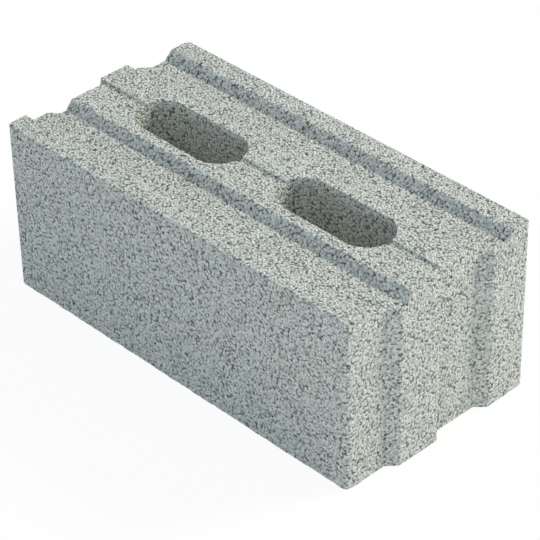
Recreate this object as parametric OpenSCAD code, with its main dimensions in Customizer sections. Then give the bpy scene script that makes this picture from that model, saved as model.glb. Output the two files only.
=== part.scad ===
// Concrete masonry block with tongued ends, two channels on top and two cores.
// Millimetres, +Z up. The origin is under the middle of the block, on its bed face.
// X runs along the wall, Y across it.

/* [Block] */
// Length over the tongues at both ends
block_length = 490; // [420:5:600]
// Thickness of the wall that the block makes
block_width = 240; // [220:2:300]
// Height of the block
block_height = 198; // [120:2:250]

/* [Tongued ends] */
// How far a tongue stands out from the recess beside it
tongue_depth = 10; // [5:0.5:16]
// Width of the slanted flank between a tongue and a recess
flank_run = 11; // [6:0.5:18]

/* [Channels in the top] */
// Width of the lip between a channel and the long side
lip_width = 24; // [16:1:30]
// Width of a channel at the top face
channel_width = 54; // [36:1:60]
// Depth of a channel
channel_depth = 10; // [5:0.5:20]
// Width that each sloping wall of a channel takes
channel_wall_run = 10; // [4:0.5:14]

/* [Score line in the top] */
// Radius of the round groove along the middle
score_radius = 5; // [4:0.25:8]
// Depth of the groove
score_depth = 3; // [1.5:0.25:3.5]

/* [Cores] */
// Length of a core at the top face
core_length = 142; // [90:1:160]
// Width of a core at the top face
core_width = 58; // [40:1:66]
// Thickness of the web between the two cores
web_thickness = 62; // [40:1:80]
// How far each wall of a core closes in from the top face to the bed face
core_draft = 1.5; // [0.5:0.1:3]

/* [Rounded edges] */
// Radius of the four upright corners
corner_radius = 5; // [2:0.5:10]
// Radius of the two long top edges
arris_radius = 1; // [0.5:0.25:4]

/* [Hidden] */

$fn = 96;
overrun = 2; // how far a cutter reaches past the face that it opens

half_length = block_length / 2;
half_width = block_width / 2;

// Each end has four strips of one width, with a flank between neighbours
strips = 4;
strip_width = (block_width - (strips - 1) * flank_run) / strips;
strip_pitch = strip_width + flank_run;

channel_floor = channel_width - 2 * channel_wall_run;
channel_centre = half_width - lip_width - channel_width / 2;

core_spacing = core_length + web_thickness;
core_straight = core_length - core_width;

// How far strip i of the +X end lies behind the tips of the tongues
function setback(i) = i % 2 == 0 ? tongue_depth : 0;

// The +X end from the front to the back, two corners to a strip
end_line = [
    for (i = [0 : strips - 1], edge = [0, strip_width])
        [half_length - setback(i), -half_width + i * strip_pitch + edge]
];

// Half the width of a core at height z
function core_half(z) = core_width / 2 - core_draft * (1 - z / block_height);

// What a rounding takes off a square corner at the origin, with the body in +X +Y
module corner_waste(radius) {
    difference() {
        translate([-overrun, -overrun])
            square(radius + overrun);
        translate([radius, radius])
            circle(radius);
    }
}

// Plan of the block. A half turn maps it onto itself, so any two blocks interlock.
module plan() {
    difference() {
        polygon(concat(end_line, [for (p = end_line) -p]));
        for (turn = [0, 180]) rotate(turn) {
            translate([half_length - setback(0), -half_width])
                mirror([1, 0])
                    corner_waste(corner_radius);
            translate([half_length - setback(strips - 1), half_width])
                rotate(180)
                    corner_waste(corner_radius);
        }
    }
}

// Stands a section drawn across the wall upright and runs it the length of the block
module along_block(length) {
    rotate([90, 0, 90])
        linear_extrude(length, center = true)
            children();
}

// Section of a channel, with the top face at y = 0
module channel_section() {
    polygon([
        [-channel_floor / 2, -channel_depth],
        [channel_floor / 2, -channel_depth],
        [channel_width / 2, 0],
        [channel_width / 2, overrun],
        [-channel_width / 2, overrun],
        [-channel_width / 2, 0]
    ]);
}

// All that is cut along the top: channels, score line and rounded long edges
module top_section() {
    translate([0, block_height]) {
        for (side = [-1, 1])
            translate([side * channel_centre, 0])
                channel_section();
        translate([0, score_radius - score_depth])
            circle(score_radius);
        for (side = [0, 1])
            mirror([side, 0])
                translate([half_width, 0])
                    rotate(180)
                        corner_waste(arris_radius);
    }
}

// Space of one core: a slot with round ends that narrows towards the bed face
module core() {
    low = -overrun;
    high = block_height + overrun;
    for (side = [-1, 1])
        translate([side * core_straight / 2, 0, low])
            cylinder(h = high - low, r1 = core_half(low), r2 = core_half(high));
    along_block(core_straight)
        polygon([
            [-core_half(low), low],
            [core_half(low), low],
            [core_half(high), high],
            [-core_half(high), high]
        ]);
}

module concrete_block() {
    color([0.69, 0.71, 0.68])
        difference() {
            linear_extrude(block_height)
                plan();
            along_block(block_length + 2 * overrun)
                top_section();
            for (side = [-1, 1])
                translate([side * core_spacing / 2, 0, 0])
                    core();
        }
}

concrete_block();
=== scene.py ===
import math

import bmesh
import bpy
import numpy as np
from mathutils import Matrix, Vector, kdtree, noise
from mathutils.geometry import delaunay_2d_cdt


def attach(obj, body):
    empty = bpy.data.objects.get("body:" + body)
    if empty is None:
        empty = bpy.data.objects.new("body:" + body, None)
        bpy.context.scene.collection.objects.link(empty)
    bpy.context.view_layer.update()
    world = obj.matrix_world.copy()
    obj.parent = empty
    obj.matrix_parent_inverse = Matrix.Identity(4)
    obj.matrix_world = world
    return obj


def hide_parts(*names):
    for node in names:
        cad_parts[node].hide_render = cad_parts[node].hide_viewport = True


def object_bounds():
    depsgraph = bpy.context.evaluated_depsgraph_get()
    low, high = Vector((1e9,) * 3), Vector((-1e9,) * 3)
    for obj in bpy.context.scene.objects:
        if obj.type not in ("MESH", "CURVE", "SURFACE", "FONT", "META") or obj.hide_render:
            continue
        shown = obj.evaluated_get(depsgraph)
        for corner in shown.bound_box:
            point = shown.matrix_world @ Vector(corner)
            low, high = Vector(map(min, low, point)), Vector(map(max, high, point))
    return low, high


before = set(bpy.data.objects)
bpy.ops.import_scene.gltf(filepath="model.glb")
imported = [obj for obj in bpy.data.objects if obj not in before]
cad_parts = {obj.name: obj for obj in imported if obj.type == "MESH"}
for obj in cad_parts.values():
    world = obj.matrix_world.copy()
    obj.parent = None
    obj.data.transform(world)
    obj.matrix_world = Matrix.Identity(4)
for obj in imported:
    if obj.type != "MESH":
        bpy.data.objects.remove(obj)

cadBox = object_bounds()
print("frame loaded, box in metres", [round(a, 4) for a in cadBox[1] - cadBox[0]])


# Cast block: the CAD solid's own faces, cut into a fine net of triangles and then worn

block = {
    "node": "concrete_block",
    "piece": "cast_block",
    "fineStep": 0.0015,      # between points beside an arris
    "fineReach": 0.0034,     # how far from an arris the points stay that close
    "faceStride": 2,         # out on a face every second point is kept
    "hiddenStride": 4,       # in the cores and on the bed every fourth
    "insideMargin": 0.03,    # a wall this far inside the plan belongs to a core
    "jitter": 0.12,          # share of a step that a point may wander
    "clearance": 0.62,       # share of a step kept free beside a face's border
    "flatAngle": 0.05,       # degrees, faces bent less than this are one face
    "arrisAngle": 15,        # degrees, an edge bent outwards more than this is an arris
    "crispAngle": 28,        # degrees, shading breaks at edges bent more than this
    "levelFacing": 0.9,      # share of the normal along Z from which a face is level
    "wallFacing": 0.5,       # and below which it is a wall
    "weld": 1e-6,            # metres, points closer than this are one
    "cutReach": 1e-9,        # the same while a face is cut into triangles
    "leastArea": 1e-10,      # square metres, anything less is a sliver along a straight border
    "batch": 2000,           # places tested at a time
    "cellKey": np.array([1, 4096, 4096 * 4096]),  # one number for a cell of space
    "seed": 11,
}

wear = {
    "reach": 0.0015,         # how far from an arris the rubbing reaches
    "passes": 2,
    "rub": 0.5,              # how far a pass takes a point towards its neighbours
    "least": 0.25,           # share of the rubbing that every arris gets
    "patchSize": 0.014,      # length of the worn and sharp stretches
    "patchEdges": (-0.35, 0.45),
    "biteSize": 0.0022,      # grains that broke out of an arris
    "biteEdges": (0.05, 0.6),
    "biteDepth": 0.00045,
    "biteShift": 7.3,        # keeps the bites and the waves from following the patches
    "waveSize": 0.045,       # slow unevenness of the faces
    "waveDepth": 0.0001,
    "waveShift": 3.1,
}


def splitBorders(source):
    # points along every edge where the surface bends, shared by the faces on both sides
    points = [vert.co.copy() for vert in source.verts]
    rows, arris = {}, set()
    for edge in source.edges:
        bend = math.degrees(edge.calc_face_angle_signed())
        if abs(bend) < block["flatAngle"]:
            continue
        sharp = bend > block["arrisAngle"]  # a hollow corner bends the other way
        step = block["fineStep"] * (1 if sharp else block["faceStride"])
        count = max(1, math.ceil(edge.calc_length() / step))
        start, end = edge.verts
        row = [start.index]
        for k in range(1, count):
            points.append(start.co.lerp(end.co, k / count))
            row.append(len(points) - 1)
        row.append(end.index)
        rows[edge.index] = row
        if sharp:
            arris.update(row)
    return points, rows, arris


def flatRegions(source, rows):
    # faces of the casting: triangles joined over edges that do not bend
    regions, seen = [], set()
    for face in source.faces:
        if face.index in seen:
            continue
        seen.add(face.index)
        region, queue = [], [face]
        while queue:
            here = queue.pop()
            region.append(here)
            for edge in here.edges:
                if edge.index in rows:
                    continue
                for other in edge.link_faces:
                    if other.index not in seen:
                        seen.add(other.index)
                        queue.append(other)
        regions.append(region)
    return regions


def makeTree(points):
    tree = kdtree.KDTree(len(points))
    for index, point in enumerate(points):
        tree.insert(point, index)
    tree.balance()
    return tree


def isHidden(region, normal):
    # true for the bed face and the walls of the cores
    centre = sum((face.calc_center_median() for face in region), Vector()) / len(region)
    margin = block["insideMargin"]
    inside = all(cadBox[0][k] + margin < centre[k] < cadBox[1][k] - margin for k in (0, 1))
    return normal.z < -block["wallFacing"] or (inside and normal.z < block["wallFacing"])


def isInside(places, flats, pairs):
    # even-odd count of the borders that a ray along +X from each place crosses
    starts = np.array([flats[a] for a, b in pairs])
    ends = np.array([flats[b] for a, b in pairs])
    rise = ends[:, 1] - starts[:, 1]
    rise = np.where(rise == 0, 1, rise)  # a level border is never crossed
    inside = np.zeros(len(places), bool)
    for first in range(0, len(places), block["batch"]):
        last = first + block["batch"]
        here = places[first:last]
        above = here[:, 1, None] < starts[None, :, 1]
        spans = above != (here[:, 1, None] < ends[None, :, 1])
        share = (here[:, 1, None] - starts[None, :, 1]) / rise
        crossing = starts[None, :, 0] + share * (ends - starts)[None, :, 0]
        inside[first:last] = (spans & (crossing > here[:, 0, None])).sum(1) % 2 == 1
    return inside


def nearCells(places, arrisCells):
    # quick test for places in a cell next to one that holds an arris
    cells = np.floor(places / block["fineReach"]).astype(np.int64) @ block["cellKey"]
    return np.isin(cells, arrisCells)


def innerPoints(flats, pairs, stride, lift, arris, borderTree, rng):
    # a triangular lattice, whole beside an arris and thinned out to every so many points elsewhere
    step = block["fineStep"]
    rowStep = step * math.sqrt(0.75)
    low, high = np.min(flats, axis=0), np.max(flats, axis=0)
    i, j = np.meshgrid(np.arange(math.ceil((high[0] - low[0]) / step) + 1),
                       np.arange(math.ceil((high[1] - low[1]) / rowStep) + 1))
    lattice = np.stack([low[0] + (i + 0.5 * (j % 2)) * step, low[1] + j * rowStep], -1).reshape(-1, 2)
    lattice += rng.uniform(-1, 1, lattice.shape) * block["jitter"] * step
    coarse = ((j % stride == 0) & ((i - j // 2) % stride == 0)).ravel()
    lifted = lift(lattice)
    near = nearCells(lifted, arris["cells"])
    kept = []
    for k in np.flatnonzero(coarse | near):
        fine = near[k] and arris["tree"].find(lifted[k])[2] < block["fineReach"]
        room = step * (1 if fine else stride) * block["clearance"]
        if (fine or coarse[k]) and borderTree.find(lifted[k])[2] > room:
            kept.append(k)
    kept = np.array(kept, int)
    kept = kept[isInside(lattice[kept], flats, pairs)]
    return lattice[kept], lifted[kept]


def zipStrip(edges, rows, points, normal):
    # pairs of triangles between two rows of as many points, for the narrow strips of the roundings
    long = [rows[e] for e in edges if len(rows[e]) > 2]
    short = [set(rows[e]) for e in edges if len(rows[e]) == 2]
    if len(long) != 2 or len(short) != 2 or len(long[0]) != len(long[1]):
        return []
    first, second = long
    if {first[0], second[0]} not in short:
        second = second[::-1]
    facing = (points[first[1]] - points[first[0]]).cross(points[second[1]] - points[first[0]])
    if facing.dot(normal) < 0:
        first, second = second, first
    made = []
    for a, b, c, d in zip(first, first[1:], second[1:], second):
        made += [(a, b, c), (a, c, d)]
    return made


def netOfBlock(node):
    source = bmesh.new()
    source.from_mesh(node.data)
    bmesh.ops.remove_doubles(source, verts=source.verts, dist=block["weld"])
    points, rows, sharp = splitBorders(source)
    onArris = np.array([points[k] for k in sorted(sharp)])
    around = np.stack(np.meshgrid(*[[-1, 0, 1]] * 3), -1).reshape(-1, 3) @ block["cellKey"]
    cells = np.floor(onArris / block["fineReach"]).astype(np.int64) @ block["cellKey"]
    arris = {"tree": makeTree(onArris), "cells": np.unique(cells[:, None] + around[None, :])}
    halfway = [(points[a] + points[b]) / 2 for row in rows.values() for a, b in zip(row, row[1:])]
    borderTree = makeTree(points + halfway)
    triangles = []
    rng = np.random.default_rng(block["seed"])
    for region in flatRegions(source, rows):
        normal = sum((face.normal * face.calc_area() for face in region), Vector()).normalized()
        level = abs(normal.z) > block["levelFacing"]
        along = normal.orthogonal() if level else Vector((0, 0, 1)).cross(normal)
        along.normalize()
        axes = np.array([along, normal.cross(along)])
        origin = np.array(region[0].verts[0].co)

        # border of the region, as pairs of points that the triangles may not cross
        edges = sorted({e.index for face in region for e in face.edges if e.index in rows})
        strip = zipStrip(edges, rows, points, normal)
        if strip:
            triangles += strip
            continue
        ids = sorted({k for e in edges for k in rows[e]})
        local = {k: n for n, k in enumerate(ids)}
        pairs = [(local[a], local[b]) for e in edges for a, b in zip(rows[e], rows[e][1:])]
        flats = (np.array([points[k] for k in ids]) - origin) @ axes.T
        stride = block["hiddenStride"] if isHidden(region, normal) else block["faceStride"]
        inner, lifted = innerPoints(flats, pairs, stride, lambda f: origin + f @ axes,
                                    arris, borderTree, rng)
        ids += range(len(points), len(points) + len(inner))
        points += [Vector(p) for p in lifted]
        cut = [Vector(f) for f in np.vstack([flats, inner])]
        made = delaunay_2d_cdt(cut, pairs, [], 0, block["cutReach"], True)
        corners = np.array(made[0])[np.array(made[2])]
        sides = corners[:, [1, 2, 0]] - corners
        area = abs(sides[:, 0, 0] * sides[:, 1, 1] - sides[:, 0, 1] * sides[:, 1, 0]) / 2
        kept = isInside(corners.mean(1), flats, pairs) & (area > block["leastArea"])
        triangles += [tuple(ids[made[3][corner][0]] for corner in made[2][k])
                      for k in np.flatnonzero(kept)]
    source.free()
    return np.array([tuple(p) for p in points]), np.array(triangles), onArris


def smoothStep(low, high, value):
    share = np.clip((value - low) / (high - low), 0, 1)
    return share * share * (3 - 2 * share)


def noiseAt(points, size, shift=0):
    # smooth noise from -1 to 1 with lumps of about that size
    return np.array([noise.noise(Vector(p) / size + Vector((shift, 0, 0))) for p in points])


def vertexNormals(points, triangles):
    corners = points[triangles]
    facing = np.cross(corners[:, 1] - corners[:, 0], corners[:, 2] - corners[:, 0])
    total = np.zeros_like(points)
    for k in range(3):
        for axis in range(3):
            total[:, axis] += np.bincount(triangles[:, k], facing[:, axis], len(points))
    return total / np.linalg.norm(total, axis=1)[:, None]


def wearBlock(points, triangles, onArris):
    pairs = np.sort(np.vstack([triangles[:, [0, 1]], triangles[:, [1, 2]], triangles[:, [2, 0]]]), 1)
    pairs = np.unique(pairs, axis=0)
    ends = np.vstack([pairs, pairs[:, ::-1]])
    count = np.bincount(ends[:, 0], minlength=len(points))
    tree = makeTree(onArris)
    away = np.array([tree.find(p)[2] for p in points])
    near = np.exp(-(away / wear["reach"]) ** 2)

    # rubbing: arrises go round, more in some stretches than in others
    patch = smoothStep(*wear["patchEdges"], noiseAt(points, wear["patchSize"]))
    rub = wear["rub"] * near * (wear["least"] + (1 - wear["least"]) * patch)
    worn = points.copy()
    for _ in range(wear["passes"]):
        for axis in range(3):
            mean = np.bincount(ends[:, 0], worn[ends[:, 1], axis], len(points)) / count
            worn[:, axis] += rub * (mean - worn[:, axis])

    # grains out of the arrises, and slow waves over the faces, always into the block
    inward = -vertexNormals(worn, triangles)
    bites = smoothStep(*wear["biteEdges"], noiseAt(points, wear["biteSize"], wear["biteShift"])) * near
    waves = 0.5 + 0.5 * noiseAt(points, wear["waveSize"], wear["waveShift"])
    depth = wear["biteDepth"] * bites + wear["waveDepth"] * waves
    worn += inward * depth[:, None]
    return np.clip(worn, cadBox[0], cadBox[1])


points, triangles, onArris = netOfBlock(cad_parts[block["node"]])
print("net of the block:", len(points), "points,", len(triangles), "triangles")
points = wearBlock(points, triangles, onArris)
mesh = bpy.data.meshes.new(block["piece"])
mesh.from_pydata(points.tolist(), [], triangles.tolist())
mesh.shade_smooth()
mesh.set_sharp_from_angle(angle=math.radians(block["crispAngle"]))
castBlock = bpy.data.objects.new(block["piece"], mesh)
bpy.context.scene.collection.objects.link(castBlock)
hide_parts(block["node"])
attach(castBlock, "root")
print("arrises worn")


# Shader maths: a socket that Python expressions work on

class Wire:
    def __init__(self, socket):
        self.socket = socket
        self.tree = socket.id_data

    def node(self, kind, settings, sockets, outlet=0):
        made = self.tree.nodes.new("ShaderNode" + kind)
        for name, value in settings.items():
            setattr(made, name, value)
        for name, value in sockets.items():
            if isinstance(value, Wire):
                self.tree.links.new(value.socket, made.inputs[name])
            else:
                made.inputs[name].default_value = value
        return Wire(made.outputs[outlet])

    def maths(self, operation, left, right):
        return self.node("Math", {"operation": operation}, {0: left, 1: right})

    def __add__(self, other):
        return self.maths("ADD", self, other)

    def __radd__(self, other):
        return self.maths("ADD", other, self)

    def __sub__(self, other):
        return self.maths("SUBTRACT", self, other)

    def __rsub__(self, other):
        return self.maths("SUBTRACT", other, self)

    def __mul__(self, other):
        return self.maths("MULTIPLY", self, other)

    def __rmul__(self, other):
        return self.maths("MULTIPLY", other, self)

    def between(self, low, high):  # 0 below low, 1 above high, smooth in between
        sockets = {0: self, 1: low, 2: high, 3: 0.0, 4: 1.0}
        return self.node("MapRange", {"interpolation_type": "SMOOTHSTEP"}, sockets)

    def blend(self, first, second):  # this value mixes two colours
        return self.node("Mix", {"data_type": "RGBA"}, {0: self, 6: first, 7: second}, 2)


def newMaterial(name):
    material = bpy.data.materials.new(name)
    material.use_nodes = True
    nodes = material.node_tree.nodes
    nodes.clear()
    coords = nodes.new("ShaderNodeTexCoord")
    output = nodes.new("ShaderNodeOutputMaterial")
    return material, Wire(coords.outputs["Object"]), output


# Concrete: rounded pale grains of a few millimetres, with painted shade in the gaps between them

concrete = {
    "askew": (0.5, 0.35, 0.8),     # radians, so that no face cuts the grains in one layer
    "scale": (1000, 1000, 1000),   # sizes below are in millimetres
    "grainSize": 2.7,
    "grainJoin": 0.08,             # how far neighbouring grains run into each other
    "ragSize": 1.8,                # ragged outline of the grains
    "rag": 0.2,
    "warpSize": 3.2,
    "warp": 1.6,                   # how far the grains are pulled out of shape
    "domeLow": 0.2,                # way out from the middle of a grain where it starts to fall away
    "domeHigh": 0.7,
    "gapShadeLow": 0.54,                # way out where the painted shade of the gap begins
    "gapShadeHigh": 0.75,
    "smallSize": 1.7,              # small grains that fill the wider gaps
    "smallLow": 0.34,
    "smallHigh": 0.58,
    "smallPale": 0.5,              # how far a small grain lightens the painted shade of the gap
    "step": 0.5,                   # share of the height by which whole grains differ
    "paleColour": (0.715, 0.735, 0.68, 1),
    "warmColour": (0.72, 0.69, 0.61, 1),
    "coolColour": (0.63, 0.70, 0.68, 1),
    "grainShade": 0.72,            # darkest grains against the palest
    "shadeEdges": (0.2, 0.8),
    # painted shade in the gaps between the grains
    "gapShadeColour": (0.09, 0.094, 0.09, 1),
    "driftSize": 38.0,             # slow change between the warm and the cool colour
    "driftEdges": (0.35, 0.65),
    "tintSize": 8.74,              # patches in which that colour shows
    "tintEdges": (0.3, 0.7),
    "tint": 0.5,
    "poreCell": 8.0,               # at most one open pore in a cell of this size
    "poreShare": 0.3,              # share of the cells that have one
    "poreSmall": 0.08,             # radius of a pore, in cells
    "poreLarge": 0.17,
    "poreEdge": 0.05,
    # painted shade inside the open pores
    "poreShadeColour": (0.07, 0.075, 0.075, 1),
    "poreDepth": 0.8,
    "coreBounceLight": (1.20, 1.18, 1.15, 1),  # painted bounce light on the walls of the cores, against the outside
    "coreRim": 0.003,              # metres below the top face where that painted light begins
    "coreDeep": 0.03,
    "coreHalf": 0.030,             # half the width that holds the cores, and half their length
    "coreReach": 0.180,
    "bumpDepth": 0.0012,           # metres
    "bumpStrength": 1.0,
    "gritSize": 1.1,               # fine change of the gloss
    "roughLow": 0.82,
    "roughHigh": 0.96,
    "specular": 0.06,
}


def noiseOf(point, size, detail=2.0, roughness=0.5, outlet="Fac"):
    sockets = {"Vector": point, "Scale": 1 / size, "Detail": detail, "Roughness": roughness}
    return point.node("TexNoise", {"noise_dimensions": "3D"}, sockets, outlet)


def cellsOf(point, settings, sockets):
    # way out from the middle of a cell, and two values that differ from cell to cell
    cells = point.node("TexVoronoi", settings, {"Vector": point, **sockets}).socket.node
    chance = point.node("SeparateColor", {}, {0: Wire(cells.outputs["Color"])}).socket.node
    return Wire(cells.outputs["Distance"]), Wire(chance.outputs[0]), Wire(chance.outputs[1])


def makeConcrete():
    look = concrete
    material, place, output = newMaterial("castConcrete")
    point = place.node("Mapping", {}, {
        "Vector": place, "Rotation": look["askew"], "Scale": look["scale"]})

    # grains, and the painted shade in the gaps between them
    pull = noiseOf(point, look["warpSize"], 1.0, outlet="Color")
    pull = point.node("VectorMath", {"operation": "SUBTRACT"}, {0: pull, 1: (0.5, 0.5, 0.5)})
    pull = point.node("VectorMath", {"operation": "SCALE"}, {0: pull, "Scale": look["warp"]})
    warped = point.node("VectorMath", {"operation": "ADD"}, {0: point, 1: pull})
    way, tall, shade = cellsOf(warped, {"feature": "SMOOTH_F1"},
                               {"Scale": 1 / look["grainSize"], "Smoothness": look["grainJoin"]})
    way = way + look["rag"] * (noiseOf(point, look["ragSize"], 1.0) - 0.5)
    dome = 1 - way.between(look["domeLow"], look["domeHigh"])
    gapShade = way.between(look["gapShadeLow"], look["gapShadeHigh"])
    small = point.node("TexVoronoi", {"feature": "F1"}, {"Vector": point, "Scale": 1 / look["smallSize"]})
    small = 1 - small.between(look["smallLow"], look["smallHigh"])
    gapShade = gapShade * (1 - look["smallPale"] * small)

    # open pores here and there, bumped in and darkened with painted shade
    reach, chosen, wide = cellsOf(warped, {"feature": "F1"}, {"Scale": 1 / look["poreCell"]})
    radius = look["poreSmall"] + (look["poreLarge"] - look["poreSmall"]) * wide
    chosen = chosen.maths("LESS_THAN", chosen, look["poreShare"])
    pore = chosen * (1 - (reach - radius).between(-look["poreEdge"], look["poreEdge"]))
    height = dome + look["step"] * tall - look["poreDepth"] * pore

    # slow drifts of colour, and grains that differ from each other
    drift = noiseOf(point, look["driftSize"], 3.0, 0.6).between(*look["driftEdges"])
    tint = noiseOf(warped, look["tintSize"], 2.0, 0.6).between(*look["tintEdges"])
    face = drift.blend(look["coolColour"], look["warmColour"])
    face = (tint * look["tint"]).blend(look["paleColour"], face)
    dark = [part * look["grainShade"] for part in look["paleColour"][:3]] + [1]
    face = shade.between(*look["shadeEdges"]).blend(dark, face)
    # painted shade darkens the gaps between the grains
    colour = gapShade.blend(face, look["gapShadeColour"])
    # painted shade inside the pores
    colour = pore.blend(colour, look["poreShadeColour"])

    # painted light: walls of the cores a little paler and warmer below the rim, standing in for warm
    # light bounced inside them
    parts = place.node("SeparateXYZ", {}, {0: place}).socket.node
    along, across, up = [Wire(parts.outputs[k]) for k in range(3)]
    coreBounceShare = (cadBox[1].z - up).between(look["coreRim"], look["coreDeep"])
    coreBounceShare = coreBounceShare * across.maths("LESS_THAN", across * across, look["coreHalf"] ** 2)
    coreBounceShare = coreBounceShare * along.maths("LESS_THAN", along * along, look["coreReach"] ** 2)
    coreBounceShare = coreBounceShare * up.maths("GREATER_THAN", up, look["coreRim"])
    # painted bounce light on the core walls
    colour = place.node("Mix", {"data_type": "RGBA", "blend_type": "MULTIPLY"}, {
        0: coreBounceShare, 6: colour, 7: look["coreBounceLight"]}, 2)

    grit = noiseOf(point, look["gritSize"], 2.0, 0.6)
    rough = look["roughLow"] + (look["roughHigh"] - look["roughLow"]) * grit
    bump = point.node("Bump", {}, {
        "Strength": look["bumpStrength"], "Distance": look["bumpDepth"], "Height": height})
    shader = point.node("BsdfPrincipled", {}, {
        "Base Color": colour, "Roughness": rough, "Specular IOR Level": look["specular"], "Normal": bump})
    point.tree.links.new(shader.socket, output.inputs["Surface"])
    return material


mesh.materials.append(makeConcrete())
print("concrete made")


# Floor, light and camera

studio = {
    "floorSize": 12.0,
    "floorDrop": 0.0004,             # below the bed face, so that the two do not flicker
    "floorColour": (0.85, 0.85, 0.85, 1),
    "floorWhite": 0.93,              # share of plain white that the camera sees on the floor
    "skyColour": (0.475, 0.553, 0.643, 1),
    "keyFrom": (0.38, 0.64, 0.665),  # from behind on the right, over the top face and the stepped end
    "keyPower": 338.0,
    "keyColour": (1.0, 0.93, 0.80),
    "fillFrom": (0.40, -0.90, 0.15),  # low light on the front face and the flanks of the end
    "fillPower": 72.0,
    "fillColour": (0.95, 0.99, 1.0),
    "lampDistance": 6.0,
    "lampSize": 1.8,
}


def whereSeen(place):
    # 1 for rays from the camera, mirrors and glass, 0 for those that carry light
    path = place.node("LightPath", {}, {}).socket.node
    camera, glossy, through = [Wire(path.outputs[n]) for n in
                               ("Is Camera Ray", "Is Glossy Ray", "Is Transmission Ray")]
    return camera.maths("MAXIMUM", camera, camera.maths("MAXIMUM", glossy, through))


def makeFloor():
    half = studio["floorSize"] / 2
    level = cadBox[0].z - studio["floorDrop"]
    plane = bpy.data.meshes.new("floor")
    corners = [(-half, -half, level), (half, -half, level), (half, half, level), (-half, half, level)]
    plane.from_pydata(corners, [], [(0, 1, 2, 3)])
    floor = bpy.data.objects.new("floor", plane)
    bpy.context.scene.collection.objects.link(floor)
    material, place, output = newMaterial("paleFloor")
    seen = whereSeen(place)
    paint = place.node("BsdfDiffuse", {}, {"Color": studio["floorColour"]})
    white = place.node("Emission", {}, {"Color": (1, 1, 1, 1), "Strength": 1.0})
    shader = place.node("MixShader", {}, {0: seen * studio["floorWhite"], 1: paint, 2: white})
    place.tree.links.new(shader.socket, output.inputs["Surface"])
    plane.materials.append(material)


def makeSky():
    world = bpy.data.worlds.new("studio")
    bpy.context.scene.world = world
    world.use_nodes = True
    nodes = world.node_tree.nodes
    nodes.clear()
    output = nodes.new("ShaderNodeOutputWorld")
    place = Wire(nodes.new("ShaderNodeTexCoord").outputs["Generated"])
    ambient = place.node("Background", {}, {"Color": studio["skyColour"], "Strength": 1.0})
    white = place.node("Background", {}, {"Color": (1, 1, 1, 1), "Strength": 1.0})
    shader = place.node("MixShader", {}, {0: whereSeen(place), 1: ambient, 2: white})
    place.tree.links.new(shader.socket, output.inputs["Surface"])


def makeLamp(name, direction, power, colour):
    lamp = bpy.data.lights.new(name, "AREA")
    lamp.shape = "DISK"
    lamp.size = studio["lampSize"]
    lamp.energy = power
    lamp.color = colour
    lampObject = bpy.data.objects.new(name, lamp)
    toLamp = Vector(direction).normalized()
    centre = (cadBox[0] + cadBox[1]) / 2
    lampObject.location = centre + toLamp * studio["lampDistance"]
    lampObject.rotation_euler = (-toLamp).to_track_quat("-Z", "Y").to_euler()
    bpy.context.scene.collection.objects.link(lampObject)


makeFloor()
makeSky()
makeLamp("keyLamp", studio["keyFrom"], studio["keyPower"], studio["keyColour"])
makeLamp("fillLamp", studio["fillFrom"], studio["fillPower"], studio["fillColour"])
print("floor and light set")

lens = {
    "azimuth": 46.392,               # degrees round from the front face
    "elevation": 35.851,
    "roll": -1.149,
    "distance": 2.475508,            # from the camera to the point aimed at
    "aimRight": 0.007443,            # point aimed at, from the middle of the block
    "aimUp": -0.017295,
    "focalPixels": 2465.586,
    "imagePixels": 540,
    "sensor": 36.0,
}


def makeCamera():
    azimuth, elevation, roll = [math.radians(lens[n]) for n in ("azimuth", "elevation", "roll")]
    back = Vector((math.sin(azimuth) * math.cos(elevation),
                   -math.cos(azimuth) * math.cos(elevation), math.sin(elevation)))
    level = Vector((math.cos(azimuth), math.sin(azimuth), 0))
    upright = back.cross(level)
    right = level * math.cos(roll) + upright * math.sin(roll)
    up = upright * math.cos(roll) - level * math.sin(roll)
    aim = (cadBox[0] + cadBox[1]) / 2 + right * lens["aimRight"] + up * lens["aimUp"]
    camera = bpy.data.cameras.new("camera")
    camera.sensor_width = lens["sensor"]
    camera.lens = lens["sensor"] * lens["focalPixels"] / lens["imagePixels"]
    cameraObject = bpy.data.objects.new("camera", camera)
    cameraObject.matrix_world = Matrix.Translation(aim + back * lens["distance"]) @ Matrix(
        (right, up, back)).transposed().to_4x4()
    bpy.context.scene.collection.objects.link(cameraObject)
    bpy.context.scene.camera = cameraObject


makeCamera()
bpy.context.scene.view_settings.view_transform = "Standard"
print("camera set")
